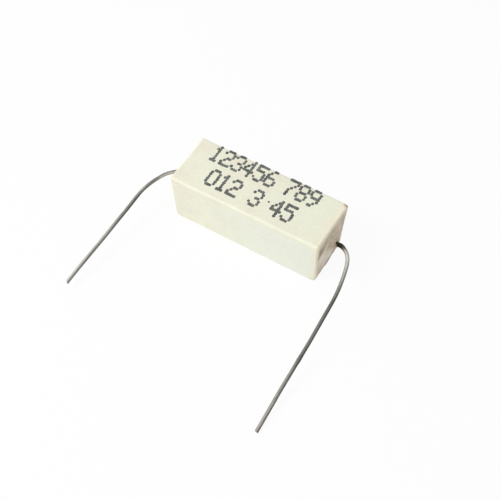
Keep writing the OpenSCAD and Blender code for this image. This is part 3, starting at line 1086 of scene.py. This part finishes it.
def make_wire(name, sign, bends, cut, waves, films, seed):
    """The piece of one lead, with its map."""
    points, uv = lead_surface(sign, bends, cut, waves, films, seed)
    return make_piece(name, points, grid_faces(*points.shape[:2], wrap_cols=True), uv, WIRE_SHARP)


ceramic = fired_ceramic()
case_points = case_surface()
case_quads = np.concatenate([grid_faces(*case_points.shape[:2], wrap_cols=True), rim_caps(case_points)])
case = make_piece("case_skin", case_points, case_quads)
dress(case, ceramic)
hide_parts("ceramic_case")
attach(case, "root")

right_plug = plug_surface(1, RIGHT_COLLAR_L)
left_plug = plug_surface(-1, LEFT_COLLAR_L)
cement_points, cement_quads = join_grids([(right_plug, False), (left_plug, False), (bed_surface(), True)])
cement = make_piece("cement_in_case", cement_points, cement_quads)
dress(cement, cement_paste())
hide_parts("cement_fill")
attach(cement, "root")

right_lead = make_wire("right_wire", 1, RIGHT_BENDS, RIGHT_CUT, RIGHT_WAVES, RIGHT_FILMS, RIGHT_SEED)
left_lead = make_wire("left_wire", -1, LEFT_BENDS, LEFT_CUT, LEFT_WAVES, LEFT_FILMS, LEFT_SEED)
dress(right_lead, tinned_wire("tinned_wire_right", RIGHT_TONES_AND_HIGHLIGHT, RIGHT_TWIST))
dress(left_lead, tinned_wire("tinned_wire_left", LEFT_TONES_AND_HIGHLIGHT, LEFT_TWIST))
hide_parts("lead_right")
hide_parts("lead_left")
for wire in (right_lead, left_lead):
    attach(wire, "root")

dots = [dot_places(text, left, low) for text, left, low in DIGIT_GROUPS] + [[STOP_PLACE]]
ink_points, ink_quads = ink_surface(np.concatenate(dots))
ink = make_piece("printed_digits", ink_points, ink_quads)
dress(ink, print_ink())
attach(ink, "root")

dress(nodes["core_rod"], white_core())
dress(nodes["resistance_winding"], metal("alloy_wire", (96, 90, 84), (134, 126, 116), 0.4, 0.6, 900.0))
cap_metal = metal("plated_cap", (150, 150, 146), (190, 190, 186), 0.28, 0.45, 500.0)
dress(nodes["end_cap_left"], cap_metal)
dress(nodes["end_cap_right"], cap_metal)


# Floor, light and camera

# Half the floor's side in metres, and its drop in millimetres under the rim, so that the two never
# share a plane
FLOOR_HALF = 0.6
FLOOR_DROP = 0.02
# Share of the floor's look to the camera that is plain white
FLOOR_GLOW = 0.93

# Strength of the sky as light
SKY_LIGHT = 0.55

# The key lamp's place, what it faces, its side and its power, in millimetres and watts
KEY_PLACE = (-105, -120, 178)
KEY_AIM = (0, 0, 4)
KEY_SIDE = 110
KEY_POWER = 0.33

# Side of the photograph and the camera's focal length in pixels, and a sensor's width
PHOTO_PX = 500.0
FOCAL_PX = 860.0
SENSOR_W = 36.0

# Turn and place of the camera, in metres, as solved on the body's corners
CAMERA_PLACE = [
    [0.85805, -0.42519, 0.28803, 0.037796],
    [0.51340, 0.69604, -0.50194, -0.067725],
    [0.01294, 0.57857, 0.81553, 0.103660],
    [0.0, 0.0, 0.0, 1.0]]


def floor_card():
    """Matte pale card that is paler still to the camera, so that only a faint shadow shows on it."""
    f = Finish("floor_card")
    f.color(f.ramp(f.noise(9.0), [(0.3, grey(0.86)), (0.7, grey(0.88))]))
    f.shader.inputs["Roughness"].default_value = 0.9
    f.shader.inputs["Specular IOR Level"].default_value = 0.0
    glow = f.node("ShaderNodeEmission", {"Color": WHITE, "Strength": 1.0})
    seen = f.node("ShaderNodeLightPath", {})
    share = f.math("MULTIPLY", seen.outputs["Is Camera Ray"], FLOOR_GLOW)
    paler = f.node("ShaderNodeMixShader", {0: share, 1: f.shader.outputs[0], 2: glow.outputs[0]})
    f.tree.links.new(paler.outputs[0], f.tree.nodes["Material Output"].inputs["Surface"])
    return f.material


def white_sky():
    """Even white light from all round, which the camera and mirror rays see as full white."""
    world = bpy.data.worlds.new("studio")
    bpy.context.scene.world = world
    world.use_nodes = True
    tree = world.node_tree
    back = tree.nodes["Background"]
    back.inputs["Color"].default_value = WHITE
    back.inputs["Strength"].default_value = SKY_LIGHT
    white = add_node(tree, "ShaderNodeBackground", {"Color": WHITE, "Strength": 1.0})
    ray = add_node(tree, "ShaderNodeLightPath", {})
    shown = add_node(tree, "ShaderNodeMath", {
        0: ray.outputs["Is Camera Ray"], 1: ray.outputs["Is Glossy Ray"]}, operation="MAXIMUM")
    blend = add_node(tree, "ShaderNodeMixShader", {
        0: shown.outputs[0], 1: back.outputs[0], 2: white.outputs[0]})
    tree.links.new(blend.outputs[0], tree.nodes["World Output"].inputs["Surface"])


def lamp(name, place, aim, size, power):
    """A square area lamp at a place, in millimetres, turned to face another."""
    data = bpy.data.lights.new(name, "AREA")
    data.shape = "SQUARE"
    data.size = size * MM
    data.energy = power
    item = bpy.data.objects.new(name, data)
    away = np.array(place, dtype=float) - np.array(aim, dtype=float)
    away = away / np.linalg.norm(away)
    right = np.cross([0.0, 0.0, 1.0], away)
    right = right / np.linalg.norm(right)
    up = np.cross(away, right)
    rows = [[right[i], up[i], away[i], place[i] * MM] for i in range(3)]
    item.matrix_world = Matrix(rows + [[0, 0, 0, 1]])
    bpy.context.scene.collection.objects.link(item)


floor_z = -FLOOR_DROP * MM
floor_mesh = bpy.data.meshes.new("floor")
floor_mesh.from_pydata([
    (-FLOOR_HALF, -FLOOR_HALF, floor_z), (FLOOR_HALF, -FLOOR_HALF, floor_z),
    (FLOOR_HALF, FLOOR_HALF, floor_z), (-FLOOR_HALF, FLOOR_HALF, floor_z)], [], [(0, 1, 2, 3)])
floor = bpy.data.objects.new("floor", floor_mesh)
bpy.context.scene.collection.objects.link(floor)
dress(floor, floor_card())

white_sky()
lamp("key_lamp", KEY_PLACE, KEY_AIM, KEY_SIDE, KEY_POWER)

camera_data = bpy.data.cameras.new("view")
camera_data.sensor_width = SENSOR_W
camera_data.lens = FOCAL_PX / PHOTO_PX * SENSOR_W
camera_data.clip_start = 0.001
# Half a pixel each way, because the photograph's places are those of its pixels' middles
camera_data.shift_x = -0.5 / PHOTO_PX
camera_data.shift_y = 0.5 / PHOTO_PX
camera = bpy.data.objects.new("view", camera_data)
camera.matrix_world = Matrix(CAMERA_PLACE)
bpy.context.scene.collection.objects.link(camera)
bpy.context.scene.camera = camera
bpy.context.scene.view_settings.view_transform = "Standard"
